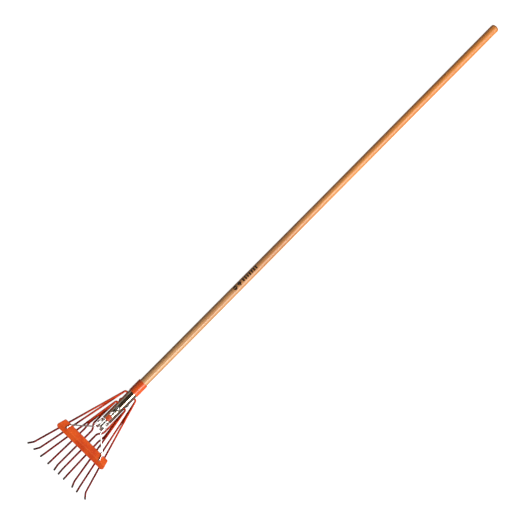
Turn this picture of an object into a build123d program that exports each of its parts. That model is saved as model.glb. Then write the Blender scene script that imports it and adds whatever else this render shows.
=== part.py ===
from build123d import *
import os
from collections import namedtuple
from math import atan2, cos, degrees, radians, sin, sqrt

# A ten-tine wire leaf rake, in millimetres.
# Tool frame, in which every piece is drawn: X runs up the handle from the socket's mouth, Y runs across
# the tines, and Z points away from the ground, to the side that carries the spring brace. "Below" means
# towards the tines, so places below the mouth are given as positive distances and drawn at minus X.
# The finished rake is then laid down on its hooks and its handle's end, by lay_down at the bottom.

# Handle: a turned hardwood stick with a slow waist, a straight grip and a domed end
handle_length = 1372.0
tenon_length = 116.0
mouth_radius = 11.4
tenon_tip_radius = 9.9
waist_radius = 10.3
grip_radius = 10.6
grip_length = 150.0
dome_length = 7.0

# Shank: a chromed tube over the tenon, with an orange collar round its mouth
tube_length = 130.0
tube_wall = 1.3
tenon_clearance = 0.1
collar_length = 35.0
collar_wall = 0.9
collar_lip = 1.2
collar_clearance = 0.05
bead_place = 22.5
bead_radius = 1.0
rim_radius = 0.9
seam_width = 0.6
seam_depth = 0.4
screw_gap = 1.4
screw_radius = 1.8
screw_length = 14.0
screw_head_radius = 3.6
screw_head_height = 2.0
screw_slot_width = 0.9
screw_slot_depth = 0.5

# Cross rivet and through bolt, which hold the tenon in the tube
rivet_place = 68.5
rivet_radius = 2.5
rivet_head_radius = 5.0
rivet_head_height = 2.2
bolt_place = 89.5
bolt_radius = 2.5
bolt_head_radius = 4.8
bolt_head_height = 3.4
washer_radius = 7.0
washer_height = 1.5
nut_across_flats = 8.0
nut_height = 4.0
bolt_tail = 1.5
fastener_clearance = 0.1

# Tines: round wire, bent into holes in the tube's sides at two levels, and bent down into hooks
wire_diameter = 5.0
hole_clearance = 0.2
seat_depth = 6.0
upper_level = 44.0
lower_level = 79.0
upper_standoff = 5.0
lower_standoff = 3.5
stack_gap = 0.5
shoulder_bend = 4.0
knee_bend = 15.0
rise_bend = 60.0
hook_bend = 9.0
hook_place = 295.5
hook_length = 32.0
hook_angle = 58.0
hook_rounding = 0.9
side_gap = 1.0
pass_gap = 12.5
coil_gap = 4.5
inner_gap = 5.1
knee_place = 164.0
knee_length = 20.0
knee_clearance = 0.36
knee_flare = 0.45
inner_flare = 0.09
bar_gaps = [11.35, 6.35, 9.45, 7.75]  # between one tine and the next at the crossbar, from the middle outwards

# Spring brace: one wire with two coils on a pin, a loop on the tube and an arm to each end of the crossbar
spring_diameter = 3.4
coil_radius = 12.4
coil_turns = 2
coil_pitch = 3.6
loop_half_width = 3.6
loop_gap = 3.8
loop_bend = 3.2
loop_lead = 4.0
coil_clearance = 1.2
spring_rest = 0.2
arm_bend = 8.0
arm_lead = 17.0
arm_lean = 3.2
arm_overhang = 1.0
arm_hook_bend = 3.0
arm_gap = 0.5
arm_hook_depth = 1.0
arm_slot = 3.5

# Hanger: a plug in the tube's end with a tongue that carries the coils' pin and bushes
plug_length = 13.5
plug_clearance = 0.05
tongue_thickness = 3.0
tongue_radius = 8.0
pin_radius = 3.0
pin_head_radius = 5.0
pin_head_height = 1.5
bush_clearance = 0.3
bush_end_gap = 0.2

# Saddle: an orange block with three ribs, which holds the brace's loop on the tube
saddle_inset = 1.0
saddle_length = 15.0
saddle_half_width = 6.6
saddle_height = 4.6
groove_clearance = 0.3
rib_count = 3
rib_height = 0.9
rib_share = 0.55

# Crossbar: a pressed shell with a ridge, closed by a back plate with dimples between the tines
bar_top = 199.5
bar_height = 28.5
ridge_place = 15.5
ridge_rise = 2.6
ridge_radius = 4.0
bar_edge = 1.0
bar_top_margin = 9.0
bar_foot_margin = 9.0
bar_corner = 6.5
bar_top_corner = 3.5
sheet = 1.3
bar_clearance = 0.25
dimple_radius = 2.6
dimple_place = 22.5
dimple_bore = 1.6

# How far a cut runs past the piece that it cuts
overrun = 1.0

# Sizes that follow from the ones above
handle_top = handle_length - tenon_length
tube_bore = mouth_radius + tenon_clearance
tube_radius = tube_bore + tube_wall
collar_radius = tube_radius + collar_wall
screw_place = bead_place - bead_radius - screw_head_radius - screw_gap
wire_radius = wire_diameter / 2
upper_shoulder = tube_radius + upper_standoff
lower_shoulder = tube_radius + lower_standoff
upper_stack = wire_radius + stack_gap
lower_stack = wire_diameter + 2 * stack_gap
spring_radius = spring_diameter / 2
pin_height = tube_radius + spring_rest + spring_radius - coil_radius
pin_place = tube_length + coil_clearance + coil_radius + spring_radius
spring_front = pin_height + coil_radius
loop_top = bolt_place + washer_radius + loop_gap + spring_radius
saddle_place = tube_length - saddle_inset - saddle_length
coil_edge = loop_half_width + coil_turns * coil_pitch + spring_radius
pin_reach = coil_edge + bush_end_gap + pin_head_height
bar_foot = bar_top + bar_height
half_gap = wire_radius + bar_clearance

quarter_handle = 4 * (sqrt(2) - 1) / 3  # a quarter circle's Bezier handle, as a share of its radius
bow = pin_reach + side_gap + wire_radius
bow_start = pin_place - coil_radius + coil_gap
bow_end = pin_place + coil_radius + spring_radius - side_gap / 2
inner_knee = bow_end + pass_gap
inner_offset = inner_gap + wire_radius

# A pair of tines: its level on the tube, its height in the stack there, the knees of its run below the
# shoulder as (place below the mouth, distance from the middle), and how far from the middle it enters the
# crossbar. Its last run is straight, from the last knee through the crossbar to the hook.
Pair = namedtuple("Pair", "level shoulder stack knees entry")

fifth_entry = inner_offset + inner_flare
fourth_entry = fifth_entry + wire_diameter + bar_gaps[0]
third_entry = fourth_entry + wire_diameter + bar_gaps[1]
second_entry = third_entry + wire_diameter + bar_gaps[2]
first_entry = second_entry + wire_diameter + bar_gaps[3]

# The fourth pair's knee passes just inside the third pair, which is higher in the stack
knee_share = (knee_place - lower_level) / (bar_top - lower_level)
knee_rise = 2 * lower_stack * (1 - knee_share)
knee_pass = sqrt((wire_diameter + knee_clearance) ** 2 - knee_rise**2)
knee_offset = lower_shoulder + knee_share * (third_entry - lower_shoulder) - knee_pass

PAIRS = [
    Pair(upper_level, upper_shoulder, upper_stack, [], first_entry),
    Pair(upper_level, upper_shoulder, -upper_stack, [], second_entry),
    Pair(lower_level, lower_shoulder, lower_stack, [], third_entry),
    Pair(
        lower_level,
        lower_shoulder,
        -lower_stack,
        [(knee_place, knee_offset), (knee_place + knee_length, fourth_entry - knee_flare)],
        fourth_entry,
    ),
    Pair(
        lower_level,
        lower_shoulder,
        0.0,
        [(bow_start, bow), (bow_end, bow), (inner_knee, inner_offset)],
        fifth_entry,
    ),
]

# How far each hook is rolled outwards about its own tine, in degrees, outermost pair first
LEFT_ROLLS = [10.0, 10.0, 0.0, 0.0, -6.0]
RIGHT_ROLLS = [14.0, 1.0, 8.0, 1.0, 3.0]


def tine_offset(pair, below):
    """How far from the middle a tine is on its last straight run, at a place below the mouth."""
    last_below, last_offset = (pair.knees or [(pair.level, pair.shoulder)])[-1]
    slope = (pair.entry - last_offset) / (bar_top - last_below)
    return last_offset + slope * (below - last_below)


bar_top_half = tine_offset(PAIRS[0], bar_top) + wire_radius + bar_top_margin
bar_foot_half = tine_offset(PAIRS[0], bar_foot) + wire_radius + bar_foot_margin
arm_hook_place = tine_offset(PAIRS[1], bar_top + ridge_place) + wire_radius + spring_radius + arm_gap
arm_place = arm_hook_place - arm_lean


def rod(start, end, radius):
    """A round bar from one point to another."""
    start, end = Vector(*start), Vector(*end)
    return Solid.make_cylinder(radius, (end - start).length, Plane(origin=start, z_dir=end - start))


def along(start, end, radius):
    """A round bar on the handle's axis, between two distances below the mouth."""
    return rod((-start, 0, 0), (-end, 0, 0), radius)


def ring(place, major, minor):
    """A torus round the handle's axis."""
    return Solid.make_torus(major, minor, Plane(origin=(-place, 0, 0), z_dir=(1, 0, 0)))


def domed_head(centre, outwards, radius, height):
    """A mushroom head: the cap of a sphere, standing on a face that looks outwards."""
    ball = (radius**2 + height**2) / (2 * height)
    centre, outwards = Vector(*centre), Vector(*outwards)
    plane = Plane(origin=centre, z_dir=outwards)
    sphere = Pos(*(centre + outwards * (height - ball))) * Sphere(ball)
    return sphere & Solid.make_cylinder(radius * 1.1, height * 1.1, plane)


def wire_along(points, bends, diameter):
    """Round wire through the points, with one bend radius for each corner between them."""
    path = FilletPolyline(*points, radius=bends)
    section = Plane(origin=path @ 0, z_dir=path % 0) * Circle(diameter / 2)
    return sweep(section, path=path).solid()


def mirrored(shape):
    """The same shape on the other side of the rake's middle plane."""
    return mirror(shape, about=Plane.XZ)


def tine_points(pair, side, roll):
    """The corners of a tine's centre line, from its seat in the handle to its tip."""

    def place(below, offset):
        rise = pair.stack * max(0.0, bar_top - below) / (bar_top - pair.level)
        return Vector(-below, side * offset, rise)

    knees = [(pair.level, pair.shoulder)] + pair.knees
    if pair.stack:
        knees.append((bar_top, pair.entry))
    knees.append((hook_place, tine_offset(pair, hook_place)))
    points = [place(pair.level, seat_depth)]
    points += [place(below, offset) for below, offset in knees]
    run = (points[-1] - points[-2]).normalized()
    outwards = Vector(run.Y, -run.X, 0) * side
    turn, lean = radians(hook_angle), radians(roll)
    across = outwards * sin(lean) - Vector(0, 0, cos(lean))
    points.append(points[-1] + (run * cos(turn) + across * sin(turn)) * hook_length)
    bends = [shoulder_bend] + [knee_bend] * len(pair.knees)
    bends += ([rise_bend] if pair.stack else []) + [hook_bend]
    return points, bends


def make_tine(pair, side, roll):
    """One tine, with a rounded tip."""
    points, bends = tine_points(pair, side, roll)
    tine = wire_along(points, bends, wire_diameter)
    tip = tine.edges().filter_by(GeomType.CIRCLE).sort_by_distance(points[-1])[0]
    return tine.fillet(hook_rounding, [tip])


def make_handle(seats):
    """The stick turned about X, with the tines', rivet's, bolt's and screw's holes in its tenon."""
    grip_end = handle_top - dome_length
    outline = Polyline(
        (handle_top, 0),
        (-tenon_length, 0),
        (-tenon_length, tenon_tip_radius),
        (0, mouth_radius),
        (handle_top / 2, waist_radius),
        (grip_end - grip_length, grip_radius),
        (grip_end, grip_radius),
    )
    dome = Bezier(
        (grip_end, grip_radius),
        (grip_end + quarter_handle * dome_length, grip_radius),
        (handle_top, quarter_handle * grip_radius),
        (handle_top, 0),
    )
    stick = revolve(make_face(outline.edges() + dome.edges()), Axis.X).solid()
    for seat in seats:
        stick -= seat
    stick -= rod((-rivet_place, -tube_radius, 0), (-rivet_place, tube_radius, 0), rivet_radius)
    stick -= rod((-bolt_place, 0, -tube_radius), (-bolt_place, 0, tube_radius), bolt_radius)
    screw_tip = -tube_radius - collar_wall + screw_length
    stick -= rod((-screw_place, 0, -tube_radius), (-screw_place, 0, screw_tip), screw_radius)
    return stick.solid()


def make_collar():
    """A rolled sheet collar: a lip over the tube's mouth, a bead, a rolled rim and a seam in front."""
    collar = along(-collar_lip, collar_length, collar_radius)
    collar = collar.fillet(collar_wall / 2, [collar.edges().sort_by(Axis.X)[-1]])
    collar += ring(bead_place, collar_radius - bead_radius / 3, bead_radius)
    collar += ring(collar_length - rim_radius, collar_radius - rim_radius / 3, rim_radius)
    collar -= along(0, collar_length, tube_radius + collar_clearance)
    collar -= along(-collar_lip - overrun, 0, tube_bore)
    seam = Box(collar_length + 2 * (collar_lip + overrun), seam_width, 2 * seam_depth)
    collar -= Pos(-collar_length / 2, 0, collar_radius) * seam
    collar -= rod(
        (-screw_place, 0, 0), (-screw_place, 0, -2 * collar_radius), screw_radius + fastener_clearance
    )
    return collar.solid()


def make_collar_screw():
    """A pan-head wood screw through the collar's back, with a slot in its head."""
    face = -collar_radius
    screw = rod((-screw_place, 0, face), (-screw_place, 0, face + screw_length), screw_radius)
    screw += domed_head((-screw_place, 0, face), (0, 0, -1), screw_head_radius, screw_head_height)
    slot = Box(2 * (screw_head_radius + overrun), screw_slot_width, 2 * screw_slot_depth)
    screw -= Pos(-screw_place, 0, face - screw_head_height) * slot
    return screw.solid()


def make_tube():
    """The chromed tube, drilled for the tines, the rivet, the bolt and the screw."""
    tube = along(0, tube_length, tube_radius) - along(0, tube_length, tube_bore)
    reach = tube_radius + overrun
    for pair in PAIRS:
        for side in (1, -1):
            outer = (-pair.level, side * reach, pair.stack)
            inner = (-pair.level, 0, pair.stack)
            tube -= rod(outer, inner, wire_radius + hole_clearance)
    loose = fastener_clearance
    tube -= rod((-rivet_place, -reach, 0), (-rivet_place, reach, 0), rivet_radius + loose)
    tube -= rod((-bolt_place, 0, -reach), (-bolt_place, 0, reach), bolt_radius + loose)
    tube -= rod((-screw_place, 0, 0), (-screw_place, 0, -reach), screw_radius + loose)
    return tube.solid()


def make_cross_rivet():
    """A rivet across the tube, with a domed head on each side, hollowed to sit on the round tube."""
    rivet = rod((-rivet_place, -tube_radius, 0), (-rivet_place, tube_radius, 0), rivet_radius)
    foot = tube_radius - rivet_head_height
    for side in (1, -1):
        collar = rod(
            (-rivet_place, side * foot, 0), (-rivet_place, side * tube_radius, 0), rivet_head_radius
        )
        head = domed_head(
            (-rivet_place, side * tube_radius, 0), (0, side, 0), rivet_head_radius, rivet_head_height
        )
        rivet += (collar + head) - along(0, tube_length, tube_radius)
    return rivet.solid()


def make_saddle_washer(side):
    """A washer dished to the tube's curve, in front (1) or behind (-1)."""
    top = side * (tube_radius + washer_height)
    washer = rod((-bolt_place, 0, 0), (-bolt_place, 0, top), washer_radius)
    washer -= along(0, tube_length, tube_radius)
    hole = bolt_radius + fastener_clearance
    washer -= rod((-bolt_place, 0, 0), (-bolt_place, 0, 2 * top), hole)
    return washer.solid()


def make_bolt():
    """A round-head bolt through the tube and the tenon, headed in front."""
    face = tube_radius + washer_height
    tail = -(face + nut_height + bolt_tail)
    bolt = rod((-bolt_place, 0, face), (-bolt_place, 0, tail), bolt_radius)
    bolt += domed_head((-bolt_place, 0, face), (0, 0, 1), bolt_head_radius, bolt_head_height)
    return bolt.solid()


def make_nut():
    """A hexagon nut on the bolt's tail, behind."""
    face = -(tube_radius + washer_height)
    plane = Plane(origin=(-bolt_place, 0, face), z_dir=(0, 0, -1))
    hexagon = plane * RegularPolygon(nut_across_flats / 2, 6, major_radius=False)
    nut = extrude(hexagon, nut_height)
    nut -= rod((-bolt_place, 0, 0), (-bolt_place, 0, 2 * face), bolt_radius + fastener_clearance / 2)
    return nut.solid()


def make_hanger():
    """The plug in the tube's end, with the tongue that the coils' pin goes through."""
    plug_start = tube_length - plug_length
    plug = along(plug_start, tube_length, tube_bore - plug_clearance)
    eye = rod(
        (-pin_place, -tongue_thickness / 2, pin_height),
        (-pin_place, tongue_thickness / 2, pin_height),
        tongue_radius,
    )
    length = pin_place - plug_start
    web = Box(length, tongue_thickness, 2 * tongue_radius)
    web = Pos(-pin_place + length / 2, 0, pin_height) * web
    web &= along(plug_start, pin_place, tube_bore - plug_clearance)
    hanger = plug + eye + web
    hanger -= rod((-pin_place, -tube_radius, pin_height), (-pin_place, tube_radius, pin_height), pin_radius)
    return hanger.solid()


def make_pin():
    """The pin through the coils, with a flat head at each end."""
    neck = pin_reach - pin_head_height
    pin = rod((-pin_place, -neck, pin_height), (-pin_place, neck, pin_height), pin_radius)
    for side in (1, -1):
        start = (-pin_place, side * neck, pin_height)
        pin += domed_head(start, (0, side, 0), pin_head_radius, pin_head_height)
    return pin.solid()


def make_bushes():
    """The two bushes inside the coils, one on each side of the tongue."""
    bushes = []
    outer = coil_radius - spring_radius - bush_clearance
    for side in (1, -1):
        start = (-pin_place, side * tongue_thickness / 2, pin_height)
        end = (-pin_place, side * (pin_reach - pin_head_height), pin_height)
        bushes.append(rod(start, end, outer) - rod(start, end, pin_radius))
    return Compound(children=[bush.solid() for bush in bushes])


def arm_height(below):
    """How high the brace's arm runs over the crossbar: the shell's face, a gap and the wire's radius."""
    share = min(1.0, max(0.0, (below - bar_top) / ridge_place))
    return half_gap + sheet + ridge_rise * share + spring_rest + spring_radius


def make_brace():
    """The spring brace: a loop, two coils of opposite hand and two arms, all of one wire."""
    coil_plane = Plane(origin=(-pin_place, -loop_half_width, pin_height), x_dir=(0, 0, 1), z_dir=(0, -1, 0))
    helix = coil_plane * Helix(coil_pitch, coil_turns * coil_pitch, coil_radius)
    coil = sweep(Plane(origin=helix @ 0, z_dir=helix % 0) * Circle(spring_radius), path=helix, is_frenet=True)

    start, finish, heading = helix @ 0, helix @ 1, helix % 1
    lead = start - (helix % 0) * loop_lead
    corner = Vector(-loop_top, -loop_half_width, start.Z)
    loop_points = [start, lead, corner]
    loop_points += [Vector(p.X, -p.Y, p.Z) for p in reversed(loop_points)]
    loop = wire_along(loop_points, [knee_bend, loop_bend, loop_bend, knee_bend], spring_diameter)

    ridge = bar_top + ridge_place
    arm_points = [
        finish,
        finish + heading * arm_lead,
        Vector(-bar_top - arm_overhang, -arm_place, arm_height(bar_top)),
        Vector(-ridge, -arm_hook_place, arm_height(ridge)),
        Vector(-ridge, -arm_hook_place, -arm_hook_depth),
    ]
    arm = wire_along(arm_points, [arm_bend, arm_bend, arm_hook_bend], spring_diameter)
    half = coil + arm
    return (half + mirrored(half) + loop).solid()


def make_saddle():
    """The orange block over the brace's loop: grooved for the wires and ribbed on top."""
    end = saddle_place + saddle_length
    top = tube_radius + saddle_height
    block = along(saddle_place, end, top)
    pitch = saddle_length / rib_count
    for n in range(rib_count):
        middle = saddle_place + (n + 0.5) * pitch
        half_rib = rib_share * pitch / 2
        block += along(middle - half_rib, middle + half_rib, top + rib_height)
    size = 2 * (top + rib_height)
    block &= Pos(-saddle_place - saddle_length / 2, 0, size / 2) * Box(
        saddle_length, 2 * saddle_half_width, size
    )
    block -= along(saddle_place, end, tube_radius)
    for side in (1, -1):
        wire_start = (-saddle_place, side * loop_half_width, spring_front)
        wire_end = (-end, side * loop_half_width, spring_front)
        block -= rod(wire_start, wire_end, spring_radius + groove_clearance)
    return block.solid()


def bar_outline(shrink=0.0):
    """The crossbar's outline: a trapezium, wider at its foot, with rounded corners."""
    top, foot = bar_top + shrink, bar_foot - shrink
    outline = Polyline(
        (-top, bar_top_half - shrink),
        (-top, -bar_top_half + shrink),
        (-foot, -bar_foot_half + shrink),
        (-foot, bar_foot_half - shrink),
        close=True,
    )
    face = make_face(outline)
    corners = face.vertices().sort_by(Axis.X)
    face = fillet(corners[:2], bar_corner - shrink)
    corners = face.vertices().sort_by(Axis.X)
    return fillet(corners[-2:], bar_top_corner - shrink)


def ridge_block(inset, floor):
    """The room under the ridged face: its outer skin with no inset, or its lining with one sheet's."""
    edge = half_gap + sheet - inset
    corners = [
        (-bar_top + overrun, floor),
        (-bar_top + overrun, edge),
        (-bar_top, edge),
        (-bar_top - ridge_place, edge + ridge_rise),
        (-bar_foot, edge),
        (-bar_foot - overrun, edge),
        (-bar_foot - overrun, floor),
    ]
    profile = make_face(Polyline(*corners, close=True))
    ridge = profile.vertices().sort_by(Axis.Y)[-1]
    profile = fillet(ridge, ridge_radius)
    return extrude(Plane.XZ * profile, bar_foot_half + overrun, both=True)


def tine_notches():
    """What the tines take out of the crossbar's shell: a round hole each, open towards the back."""
    notches = []
    radius = wire_radius + bar_clearance / 2
    for pair in PAIRS:
        for side in (1, -1):
            first, last = bar_top - 2 * overrun, bar_foot + 2 * overrun
            start = Vector(-first, side * tine_offset(pair, first), 0)
            end = Vector(-last, side * tine_offset(pair, last), 0)
            notches.append(rod(start, end, radius))
            length = (end - start).length
            turn = degrees(atan2(end.Y - start.Y, end.X - start.X))
            depth = half_gap + overrun
            middle = (start + end) * 0.5
            slot = Box(length, 2 * radius, depth)
            notches.append(Pos(middle.X, middle.Y, -depth / 2) * Rot(0, 0, turn) * slot)
    return notches


def make_bar_shell():
    """The crossbar's front: a ridged face with walls all round, notched for tines and drilled for arms."""
    depth = 2 * (half_gap + sheet + ridge_rise)
    prism = extrude(bar_outline(), depth, both=True)
    hollow = extrude(bar_outline(sheet), depth, both=True)
    skin = prism & ridge_block(0.0, -half_gap)
    borders = [edge for face in skin.faces() if face.normal_at().Z > 0.5 for edge in face.edges()]
    rim = [edge for edge in borders if borders.count(edge) == 1]
    shell = skin.fillet(bar_edge, rim) - (hollow & ridge_block(sheet, -half_gap - overrun))
    for notch in tine_notches():
        shell -= notch
    hole = spring_radius + bar_clearance
    rise = Vector(0, 0, depth)
    for side in (1, -1):
        place = Vector(-bar_top - ridge_place, side * arm_hook_place, 0)
        run = Vector(-bar_top - arm_overhang, side * arm_place, 0) - place
        other = place + run.normalized() * arm_slot
        middle = (place + other + rise) * 0.5
        turn = degrees(atan2(run.Y, run.X))
        shell -= rod(place, place + rise, hole)
        shell -= rod(other, other + rise, hole)
        shell -= Pos(*middle) * Rot(0, 0, turn) * Box(arm_slot, 2 * hole, depth)
    return shell.solid()


def make_bar_back():
    """The crossbar's back plate, with a hollow dimple up to the shell's face between every two tines."""
    plate = Pos(0, 0, -half_gap - sheet) * extrude(bar_outline(), sheet)
    below = bar_top + dimple_place
    offsets = sorted(side * tine_offset(pair, below) for pair in PAIRS for side in (1, -1))
    lining = ridge_block(sheet, -half_gap - overrun)
    for low, high in zip(offsets, offsets[1:]):
        foot = Vector(-below, (low + high) / 2, -half_gap - sheet / 2)
        top = foot + Vector(0, 0, 2 * (half_gap + sheet + ridge_rise))
        plate += rod(foot, top, dimple_radius) & lining
        plate -= rod(foot - Vector(0, 0, sheet), foot + Vector(0, 0, half_gap), dimple_bore)
    return plate.solid()


def make_seats():
    """The ends of the tines inside the tenon, as the holes they sit in."""
    seats = []
    for pair in PAIRS:
        for side in (1, -1):
            start = (-pair.level, side * seat_depth, pair.stack)
            end = (-pair.level, side * tube_radius, pair.stack)
            seats.append(rod(start, end, wire_radius))
    return seats


def make_all():
    """Every piece by its node's name, in the tool frame."""
    pieces = {
        "handle": make_handle(make_seats()),
        "socket_collar": make_collar(),
        "collar_screw": make_collar_screw(),
        "shank_tube": make_tube(),
        "cross_rivet": make_cross_rivet(),
        "clamp_bolt": make_bolt(),
        "front_saddle_washer": make_saddle_washer(1),
        "back_saddle_washer": make_saddle_washer(-1),
        "clamp_nut": make_nut(),
        "spring_hanger": make_hanger(),
        "spring_pin": make_pin(),
        "spring_bushes": make_bushes(),
        "spring_brace": make_brace(),
        "spring_saddle": make_saddle(),
        "crossbar_shell": make_bar_shell(),
        "crossbar_back": make_bar_back(),
    }
    count = len(PAIRS)
    for n, (pair, roll) in enumerate(zip(PAIRS, LEFT_ROLLS)):
        pieces[f"tine_{n + 1:02d}"] = make_tine(pair, 1, roll)
    for n, (pair, roll) in enumerate(zip(PAIRS, RIGHT_ROLLS)):
        pieces[f"tine_{2 * count - n:02d}"] = make_tine(pair, -1, roll)
    return pieces


def lay_down(pieces):
    """The turn and shift that lay the rake on its hooks and its handle's end, centred over the origin."""
    turn = radians(hook_angle)
    straight = hook_length - hook_rounding
    drop = straight * sin(turn) + (wire_radius - hook_rounding) * cos(turn) + hook_rounding
    reach = handle_top - dome_length + hook_place + hook_length * cos(turn)
    slope = degrees(atan2(drop - grip_radius, reach))
    turned = Compound(children=[piece.rotate(Axis.Y, slope) for piece in pieces.values()])
    box = turned.bounding_box()
    shift = Pos(-(box.min.X + box.max.X) / 2, -(box.min.Y + box.max.Y) / 2, -box.min.Z)
    return shift * Rot(0, slope, 0)


PIECES = make_all()
LAID = lay_down(PIECES)

os.makedirs("parts", exist_ok=True)
for name, piece in PIECES.items():
    export_step(LAID * piece, f"parts/{name}.step")
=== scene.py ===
import math
import bpy
import numpy as np
from mathutils import Euler, Matrix, Vector

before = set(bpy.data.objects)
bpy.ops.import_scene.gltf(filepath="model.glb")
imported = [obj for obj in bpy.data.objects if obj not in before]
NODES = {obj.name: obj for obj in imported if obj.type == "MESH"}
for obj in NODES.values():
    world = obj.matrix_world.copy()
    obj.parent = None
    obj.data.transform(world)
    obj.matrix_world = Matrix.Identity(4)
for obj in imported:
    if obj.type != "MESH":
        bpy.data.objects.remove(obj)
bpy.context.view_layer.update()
MM = 0.001

# Sizes of the rake that the finishes go by, in metres, in the tool frame: X up the handle from the shank's
# mouth, Y across the tines, Z away from the ground.
HANDLE_TOP = 1256 * MM
BAR_TOP = 199.5 * MM
RIDGE_PLACE = 15.5 * MM
MARK_START = 324 * MM
MARK_LENGTH = 85 * MM
MARK_TURN = 0.42
MARK_HALF_TURN = 0.62
BAR_COUNT = 7  # bars in the handle's stamp

# The tree's rings in the handle: their spacing, and how far its heart lies to the side and above
RING_SPACING = 3.1 * MM
HEART_ASIDE = 34 * MM
HEART_ABOVE = 52 * MM


# ---------------------------------------------------------------- the tool frame, found from the handle

def mesh_points(node):
    """Every vertex of a node as an array of rows."""
    mesh = NODES[node].data
    points = np.empty(3 * len(mesh.vertices))
    mesh.vertices.foreach_get("co", points)
    return points.reshape(-1, 3)


def handle_axis():
    """The dome's tip and the unit vector up the handle, from the dome's tip and the tenon's end face."""
    points = mesh_points("handle")
    tip = points[points[:, 0].argmax()]
    end_face = points[points[:, 0] < points[:, 0].min() + 0.3 * MM]
    butt = (end_face.min(axis=0) + end_face.max(axis=0)) / 2
    tip = np.array([tip[0], butt[1], tip[2]])
    run = (tip - butt) / np.linalg.norm(tip - butt)
    return tip, run


TIP, RUN = handle_axis()
SLOPE = math.atan2(-RUN[2], RUN[0])
MOUTH = TIP - RUN * HANDLE_TOP
TURN = Matrix.Rotation(SLOPE, 3, "Y")


def laid(points):
    """Points of the tool frame, as rows, moved to where the rake lies: turned about Y, then shifted."""
    turn = np.array(TURN)
    return np.asarray(points, dtype=float) @ turn.T + MOUTH


# ---------------------------------------------------------------- shader arithmetic

class Number:
    """A shader socket that Python's arithmetic signs join to Math nodes."""

    def __init__(self, finish, socket):
        self.finish = finish
        self.socket = socket

    def math(self, operation, *values):
        sockets = dict(enumerate(values))
        return self.finish.node("ShaderNodeMath", {"operation": operation}, sockets)

    def __add__(self, other):
        return self.math("ADD", self, other)

    def __sub__(self, other):
        return self.math("SUBTRACT", self, other)

    def __rsub__(self, other):
        return self.math("SUBTRACT", other, self)

    def __mul__(self, other):
        return self.math("MULTIPLY", self, other)

    def __truediv__(self, other):
        return self.math("DIVIDE", self, other)

    def __pow__(self, other):
        return self.math("POWER", self, other)

    def __abs__(self):
        return self.math("ABSOLUTE", self)

    __radd__ = __add__
    __rmul__ = __mul__

    def least(self, other):
        return self.math("MINIMUM", self, other)

    def most(self, other):
        return self.math("MAXIMUM", self, other)

    def fraction(self):
        return self.math("FRACT", self)

    def ramp(self, low, high):
        """0 below low and 1 above high, with a soft run between; low may be the larger."""
        settings = {"interpolation_type": "SMOOTHSTEP", "clamp": True}
        if low < high:
            return self.finish.node("ShaderNodeMapRange", settings, {0: self, 1: low, 2: high})
        return 1 - self.finish.node("ShaderNodeMapRange", settings, {0: self, 1: high, 2: low})


class Finish:
    """One material: a principled shader, and a way to add nodes in front of it."""

    def __init__(self, name, **constants):
        self.material = bpy.data.materials.new(name)
        self.material.use_nodes = True
        self.tree = self.material.node_tree
        self.shader = self.tree.nodes["Principled BSDF"]
        for socket, value in constants.items():
            self.shader.inputs[socket.replace("_", " ")].default_value = value

    def node(self, kind, settings=None, sockets=None, output=0):
        """Any node: its type, its settings, and the values or links of its sockets."""
        node = self.tree.nodes.new(kind)
        for setting, value in (settings or {}).items():
            setattr(node, setting, value)
        for socket, value in (sockets or {}).items():
            if isinstance(value, Number):
                self.tree.links.new(value.socket, node.inputs[socket])
            else:
                node.inputs[socket].default_value = value
        return Number(self, node.outputs[output])

    def feed(self, **sockets):
        """Links what varies over the surface to the shader."""
        for socket, value in sockets.items():
            self.tree.links.new(value.socket, self.shader.inputs[socket.replace("_", " ")])

    def tool_place(self):
        """The point of the surface in the tool frame, as a vector."""
        coordinates = self.node("ShaderNodeTexCoord", output="Object")
        shift = -(TURN.transposed() @ Vector(MOUTH))
        turn = TURN.transposed().to_euler()
        sockets = {"Vector": coordinates, "Location": shift, "Rotation": turn}
        return self.node("ShaderNodeMapping", {}, sockets)

    def split(self, vector):
        """The three parts of a vector."""
        parts = self.node("ShaderNodeSeparateXYZ", {}, {0: vector})
        outputs = parts.socket.node.outputs
        return [Number(self, outputs[n]) for n in range(3)]

    def stretch(self, vector, x, y, z):
        """A vector with each part multiplied."""
        return self.node("ShaderNodeVectorMath", {"operation": "MULTIPLY"}, {0: vector, 1: (x, y, z)})

    def noise(self, vector, scale, detail=3.0, roughness=0.5, distortion=0.0):
        """Cloudy noise, about 0.2 to 0.8."""
        sockets = {"Vector": vector, "Scale": scale, "Detail": detail}
        sockets.update({"Roughness": roughness, "Distortion": distortion})
        return self.node("ShaderNodeTexNoise", {}, sockets)

    def mix(self, share, first, second):
        """A colour between two colours."""
        return self.node(
            "ShaderNodeMix", {"data_type": "RGBA", "clamp_factor": True}, {0: share, 6: first, 7: second}, 2
        )

    def bump(self, height, distance, strength):
        """A normal bent by a height between 0 and 1, which stands for a distance in metres."""
        sockets = {"Strength": strength, "Distance": distance, "Height": height}
        return self.node("ShaderNodeBump", {}, sockets)


def colour(red, green, blue):
    """A display colour of 0 to 255 as the linear colour that a shader takes."""
    share = np.array([red, green, blue]) / 255
    linear = np.where(share <= 0.04045, share / 12.92, ((share + 0.055) / 1.055) ** 2.4)
    return (*linear.tolist(), 1.0)


def dress(finish, *nodes):
    """Gives CAD nodes a finish."""
    for node in nodes:
        for slot in NODES[node].material_slots:
            slot.material = finish.material


# ---------------------------------------------------------------- finishes

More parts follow.
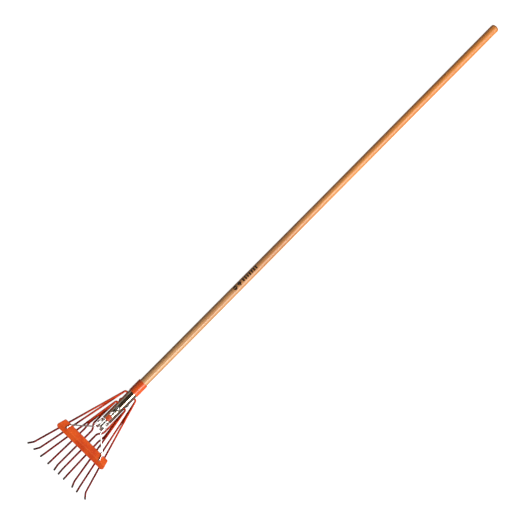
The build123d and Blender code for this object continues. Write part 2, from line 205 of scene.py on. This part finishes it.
def turned_wood():
    """Clear-varnished hardwood: rings of a tree cut lengthwise, pores, slow changes of tone and handling."""
    f = Finish("turned_wood", Coat_Roughness=0.22, Specular_IOR_Level=0.4)
    place = f.tool_place()
    x, y, z = f.split(place)
    drift = f.noise(f.stretch(place, 1.6, 9, 9), 1.0, 2.0) - 0.5
    waver = f.noise(f.stretch(place, 5, 60, 60), 1.0, 3.0) - 0.5
    across = y + HEART_ASIDE + drift * 0.02
    depth = z - HEART_ABOVE + drift * 0.012
    radius = (across * across + depth * depth) ** 0.5 + waver * 0.0016
    ring = (radius / RING_SPACING).fraction()
    late = ring.ramp(0.35, 0.93) * ring.ramp(1.0, 0.96)
    pores = f.noise(f.stretch(place, 14, 1300, 1300), 1.0, 2.0, 0.6).ramp(0.56, 0.70)
    streaks = f.noise(f.stretch(place, 3, 260, 260), 1.0, 4.0, 0.6)
    tone = f.noise(f.stretch(place, 3.4, 14, 14), 1.0, 3.0)
    upward = x.ramp(0.05, 1.15)
    early = f.mix(upward, colour(212, 162, 108), colour(236, 152, 70))
    dark = f.mix(upward, colour(156, 100, 54), colour(184, 100, 36))
    base = f.mix((late * 0.55 + (streaks - 0.5) * 0.9 + pores * 0.28).most(0.0), early, dark)
    base = f.mix((tone - 0.42) * 1.5, base, colour(168, 102, 58))
    ends = x.ramp(HANDLE_TOP - 0.006, HANDLE_TOP - 0.001)
    base = f.mix(ends * 0.45, base, colour(110, 62, 30))
    grime = f.noise(f.stretch(place, 26, 60, 60), 1.0, 4.0, 0.65).ramp(0.58, 0.78) * 0.3
    base = f.mix(grime, base, colour(118, 74, 44))
    mark = handle_mark(f, place)
    base = f.mix(mark, base, colour(26, 10, 5))
    scuffs = f.noise(f.stretch(place, 60, 700, 700), 1.0, 3.0).ramp(0.50, 0.75)
    f.feed(
        Base_Color=base,
        Roughness=0.40 + pores * 0.14 + scuffs * 0.10 - mark * 0.08,
        Coat_Weight=(0.34 - scuffs * 0.20) * (1 - mark * 0.8),
        Normal=f.bump(0.5 - pores * 0.4 - late * 0.18 + (streaks - 0.5) * 0.25, 0.00022, 0.7),
    )
    return f


def handle_mark(f, place):
    """A plain stamp on the handle, of no maker's design: a leaf, a diamond, then a row of bars."""
    x, y, z = f.split(place)
    along = (x - MARK_START) / MARK_LENGTH
    turn = f.node("ShaderNodeMath", {"operation": "ARCTAN2"}, {0: y, 1: z})
    across = (turn - MARK_TURN) / MARK_HALF_TURN
    leaf_run = along / 0.17
    bulge = (leaf_run * (1 - leaf_run)).most(0.0) * 3.8
    leaf = (bulge - abs(across)).ramp(-0.05, 0.05) * abs(across).ramp(0.05, 0.13)
    diamond = (1 - abs(along - 0.265) / 0.075 - abs(across) * 0.95).ramp(-0.04, 0.06)
    bars_run = (along - 0.39) / 0.61 * BAR_COUNT
    step = bars_run.fraction()
    bar = step.ramp(0.04, 0.10) * step.ramp(0.74, 0.68)
    row = bars_run.ramp(-0.01, 0.0) * bars_run.ramp(BAR_COUNT, BAR_COUNT - 0.01)
    bars = bar * row * abs(across).ramp(0.80, 0.72)
    worn = f.noise(f.stretch(place, 300, 900, 900), 1.0, 3.0).ramp(0.26, 0.40)
    return (leaf + diamond + bars).least(1.0) * worn


def enamel(name, main, deep, light, peel=1.0):
    """Gloss enamel on pressed steel: slow changes of tone, orange peel, dust, chips down to steel, and a
    painted highlight along the crossbar's ridge.
    """
    f = Finish(name, Coat_Roughness=0.16, Specular_IOR_Level=0.32)
    place = f.tool_place()
    x = f.split(place)[0]
    tone = f.noise(place, 42.0, 3.0)
    speckle = f.noise(place, 900.0, 2.0)
    base = f.mix(tone.ramp(0.35, 0.68), main, deep)
    base = f.mix(speckle.ramp(0.60, 0.75) * 0.35, base, light)
    chips = f.noise(place, 330.0, 4.0, 0.62).ramp(0.715, 0.735)
    scratches = f.noise(f.stretch(place, 900, 60, 500), 1.0, 2.0, 0.6).ramp(0.70, 0.76) * 0.35
    bare = (chips + scratches * chips.most(0.25)).least(1.0)
    # Painted highlight: a line of the light colour along the crossbar's ridge, broken by speckle
    ridge_highlight = abs(x + (BAR_TOP + RIDGE_PLACE)).ramp(0.0014, 0.0003) * speckle.ramp(0.38, 0.62)
    base = f.mix(ridge_highlight * 0.45, base, light)
    base = f.mix(bare, base, colour(112, 96, 88))
    f.feed(
        Base_Color=base,
        Metallic=bare * 0.75,
        Roughness=0.30 + tone * 0.12 + bare * 0.15,
        Coat_Weight=0.24 - bare * 0.24,
        Normal=f.bump(f.noise(place, 260.0, 2.0) * peel - chips * 0.9, 0.00012, 0.55),
    )
    return f


def wire_enamel():
    """Enamel on spring wire: thick and bright by the shank, thin and dark below, bare at the hooks' tips."""
    f = Finish("orange_wire_paint", Coat_Roughness=0.3, Specular_IOR_Level=0.08)
    place = f.tool_place()
    x, _, z = f.split(place)
    tone = f.noise(place, 60.0, 3.0)
    blotch = f.noise(place, 420.0, 4.0, 0.6)
    thick = f.mix(tone.ramp(0.32, 0.70), colour(212, 66, 20), colour(172, 42, 12))
    thin = f.mix(tone.ramp(0.32, 0.70), colour(134, 6, 1), colour(96, 4, 1))
    base = f.mix((x + (tone - 0.5) * 0.06).ramp(-0.190, -0.125), thin, thick)
    base = f.mix(blotch.ramp(0.58, 0.72) * 0.5, base, colour(78, 8, 3))
    low = z.ramp(-0.010, -0.026)
    far = x.ramp(-0.285, -0.312)
    rubbed = (low * 0.9 + far * 0.5 + (blotch - 0.5) * 0.9).ramp(0.42, 0.62) * far.most(low)
    flecks = f.noise(f.stretch(place, 260, 900, 900), 1.0, 3.0).ramp(0.705, 0.73)
    bare = rubbed.most(flecks * 0.8)
    steel = f.mix(blotch.ramp(0.40, 0.65), colour(120, 100, 92), colour(74, 56, 50))
    base = f.mix(bare, base, steel)
    f.feed(
        Base_Color=base,
        Metallic=bare * 0.7,
        Roughness=0.46 + tone * 0.12 + bare * 0.10,
        Coat_Weight=0.05 - bare * 0.05,
        Normal=f.bump(blotch * 0.5 + f.noise(place, 260.0, 2.0) * 0.5 - bare * 0.7, 0.00012, 0.55),
    )
    return f


def chrome(name, tint, dull, satin=0.0):
    """Bright chrome plate: fine haze, thin lengthwise polishing lines, and specks of dullness."""
    f = Finish(name, Metallic=1.0)
    place = f.tool_place()
    haze = f.noise(place, 75.0, 4.0, 0.6)
    lines = f.noise(f.stretch(place, 26, 1500, 1500), 1.0, 3.0, 0.6)
    specks = f.noise(place, 800.0, 3.0, 0.6).ramp(0.64, 0.74)
    base = f.mix(haze.ramp(0.35, 0.75), tint, dull)
    base = f.mix(specks * 0.5, base, colour(96, 84, 72))
    f.feed(
        Base_Color=base,
        Roughness=0.07 + satin + haze * 0.10 + specks * 0.25,
        Normal=f.bump(lines * 0.7 + haze * 0.3, 0.00004, 0.35),
    )
    return f


def zinc():
    """Bright zinc plate on small fixings: crystalline mottle and a slight grain."""
    f = Finish("bright_zinc", Metallic=1.0)
    place = f.tool_place()
    cells = f.node("ShaderNodeTexVoronoi", {"feature": "F1"}, {"Vector": place, "Scale": 900.0})
    mottle = f.noise(place, 240.0, 4.0, 0.6)
    base = f.mix(mottle.ramp(0.35, 0.70), colour(188, 186, 180), colour(138, 134, 126))
    f.feed(
        Base_Color=f.mix(cells * 0.25, base, colour(120, 118, 112)),
        Roughness=0.22 + mottle * 0.22,
        Normal=f.bump(cells * 0.5 + mottle * 0.5, 0.00006, 0.4),
    )
    return f


def moulding():
    """Moulded orange plastic: soft gloss, a faint spark-eroded texture and rubbed patches."""
    f = Finish("orange_moulding", Specular_IOR_Level=0.5)
    place = f.tool_place()
    tone = f.noise(place, 120.0, 3.0)
    fine = f.noise(place, 1600.0, 2.0)
    base = f.mix(tone.ramp(0.35, 0.70), colour(224, 92, 40), colour(188, 62, 26))
    base = f.mix(fine.ramp(0.60, 0.72) * 0.3, base, colour(240, 140, 90))
    f.feed(
        Base_Color=base,
        Roughness=0.40 + tone * 0.15,
        Normal=f.bump(fine, 0.00006, 0.5),
    )
    return f


def natural_nylon():
    """Natural off-white moulded nylon with a matt grain, greyed in patches by dirt and grease."""
    f = Finish("nylon", Specular_IOR_Level=0.45)
    place = f.tool_place()
    grain = f.noise(place, 1300.0, 3.0)
    dirt = f.noise(place, 260.0, 3.0).ramp(0.45, 0.75)
    base = f.mix(grain, colour(236, 232, 220), colour(216, 210, 194))
    f.feed(
        Base_Color=f.mix(dirt * 0.4, base, colour(150, 142, 128)),
        Roughness=0.42 + grain * 0.2,
        Normal=f.bump(grain, 0.00006, 0.5),
    )
    return f


tines = [f"tine_{n:02d}" for n in range(1, 11)]
enamelled = enamel("orange_paint", colour(224, 88, 28), colour(204, 66, 20), colour(244, 136, 78))
dress(turned_wood(), "handle")
dress(enamelled, "socket_collar", "crossbar_shell", "crossbar_back")
dress(wire_enamel(), *tines)
dress(chrome("chrome_plate", colour(232, 232, 228), colour(196, 194, 188)), "clamp_bolt")
# Painted highlight: the brace's chrome gets a near-white tint, brighter than the other chrome, so that it
# reads white
dress(chrome("plated_wire", colour(255, 255, 253), colour(246, 245, 240), 0.18), "spring_brace")
# Painted shade and reflection: the shank's chrome gets a darker, warm tint, standing for the dark and orange
# surroundings it reflects
dress(chrome("shank_chrome", colour(182, 168, 146), colour(138, 122, 102)), "shank_tube")
dress(zinc(), "collar_screw", "cross_rivet", "front_saddle_washer", "back_saddle_washer", "clamp_nut")
dress(zinc(), "spring_hanger", "spring_pin")
dress(moulding(), "spring_saddle")
dress(natural_nylon(), "spring_bushes")


# ---------------------------------------------------------------- floor, light and camera

FLOOR_HALF = 40.0


def floor_sheet(half):
    """A level sheet on z = 0: four corners at plus and minus half."""
    corners = [(-half, -half, 0), (half, -half, 0), (half, half, 0), (-half, half, 0)]
    mesh = bpy.data.meshes.new("floor")
    mesh.from_pydata(corners, [], [(0, 1, 2, 3)])
    floor = bpy.data.objects.new("floor", mesh)
    bpy.context.scene.collection.objects.link(floor)
    f = Finish("floor_paper", Roughness=0.9, Specular_IOR_Level=0.1, Emission_Strength=0.98)
    place = f.node("ShaderNodeTexCoord", output="Object")
    seen = f.node("ShaderNodeLightPath", output="Is Camera Ray")
    f.feed(
        Base_Color=f.mix(f.noise(place, 2.0, 2.0), colour(150, 150, 150), colour(145, 145, 145)),
        Emission_Color=f.mix(seen, colour(40, 40, 40), colour(255, 255, 255)),
    )
    mesh.materials.append(f.material)


floor_sheet(FLOOR_HALF)


def softbox(name, place, aim, width, height, power):
    """A square area light at a place, turned towards a point."""
    data = bpy.data.lights.new(name, "AREA")
    data.shape = "RECTANGLE"
    data.size = width
    data.size_y = height
    data.energy = power
    light = bpy.data.objects.new(name, data)
    bpy.context.scene.collection.objects.link(light)
    light.visible_camera = False
    light.location = place
    light.rotation_euler = (Vector(aim) - Vector(place)).to_track_quat("-Z", "Y").to_euler()


softbox("key_light", (-0.2, -2.3, 2.3), (-0.1, 0, 0), 3.0, 1.1, 150)
softbox("fill_light", (-0.2, 3.2, 1.5), (-0.1, 0, 0), 3.0, 1.0, 7)
softbox("end_light", (3.0, -0.6, 1.6), (0.4, 0, 0), 1.2, 1.2, 20)


KEY_SIDE_WALL = (0.62, 0.62, 0.62, 1.0)
FAR_SIDE_WALL = (0.20, 0.19, 0.18, 1.0)
CEILING = (0.10, 0.085, 0.07, 1.0)


def studio_walls():
    """Walls under a dark warm ceiling, pale on the key light's side and grey across from it."""
    world = bpy.data.worlds.new("studio")
    world.use_nodes = True
    nodes, links = world.node_tree.nodes, world.node_tree.links
    place = nodes.new("ShaderNodeTexCoord")
    parts = nodes.new("ShaderNodeSeparateXYZ")
    links.new(place.outputs["Generated"], parts.inputs[0])

    def blend(part, low, high, first, second, smooth):
        """A colour that goes from the first to the second as a part of the direction rises."""
        share = nodes.new("ShaderNodeMapRange")
        share.interpolation_type = "SMOOTHSTEP" if smooth else "LINEAR"
        share.inputs["From Min"].default_value = low
        share.inputs["From Max"].default_value = high
        links.new(parts.outputs[part], share.inputs["Value"])
        mixed = nodes.new("ShaderNodeMix")
        mixed.data_type = "RGBA"
        links.new(share.outputs[0], mixed.inputs[0])
        mixed.inputs[7].default_value = second
        if isinstance(first, tuple):
            mixed.inputs[6].default_value = first
        else:
            links.new(first, mixed.inputs[6])
        return mixed.outputs[2]

    walls = blend("Y", -0.3, 0.5, KEY_SIDE_WALL, FAR_SIDE_WALL, False)
    room = blend("Z", 0.05, 0.45, walls, CEILING, True)
    links.new(room, nodes["Background"].inputs["Color"])
    bpy.context.scene.world = world


studio_walls()
bpy.context.scene.view_settings.view_transform = "Standard"

# The camera hangs straight above: its view's width, its height, the place in the tool frame under the middle
# of the view, and its turn in degrees
VIEW_WIDTH = 1.300
VIEW_HEIGHT_ABOVE = 8.0
VIEW_PLACE = (0.424, 0.00915)
VIEW_TURN = 45.26

camera_data = bpy.data.cameras.new("camera")
camera_data.sensor_width = 36.0
camera_data.lens = camera_data.sensor_width * VIEW_HEIGHT_ABOVE / VIEW_WIDTH
camera_data.clip_end = 100.0
camera = bpy.data.objects.new("camera", camera_data)
bpy.context.scene.collection.objects.link(camera)
aim = laid([[VIEW_PLACE[0], VIEW_PLACE[1], 0]])[0]
camera.location = (aim[0], aim[1], aim[2] + VIEW_HEIGHT_ABOVE)
camera.rotation_euler = Euler((0, 0, math.radians(-VIEW_TURN)))
bpy.context.scene.camera = camera
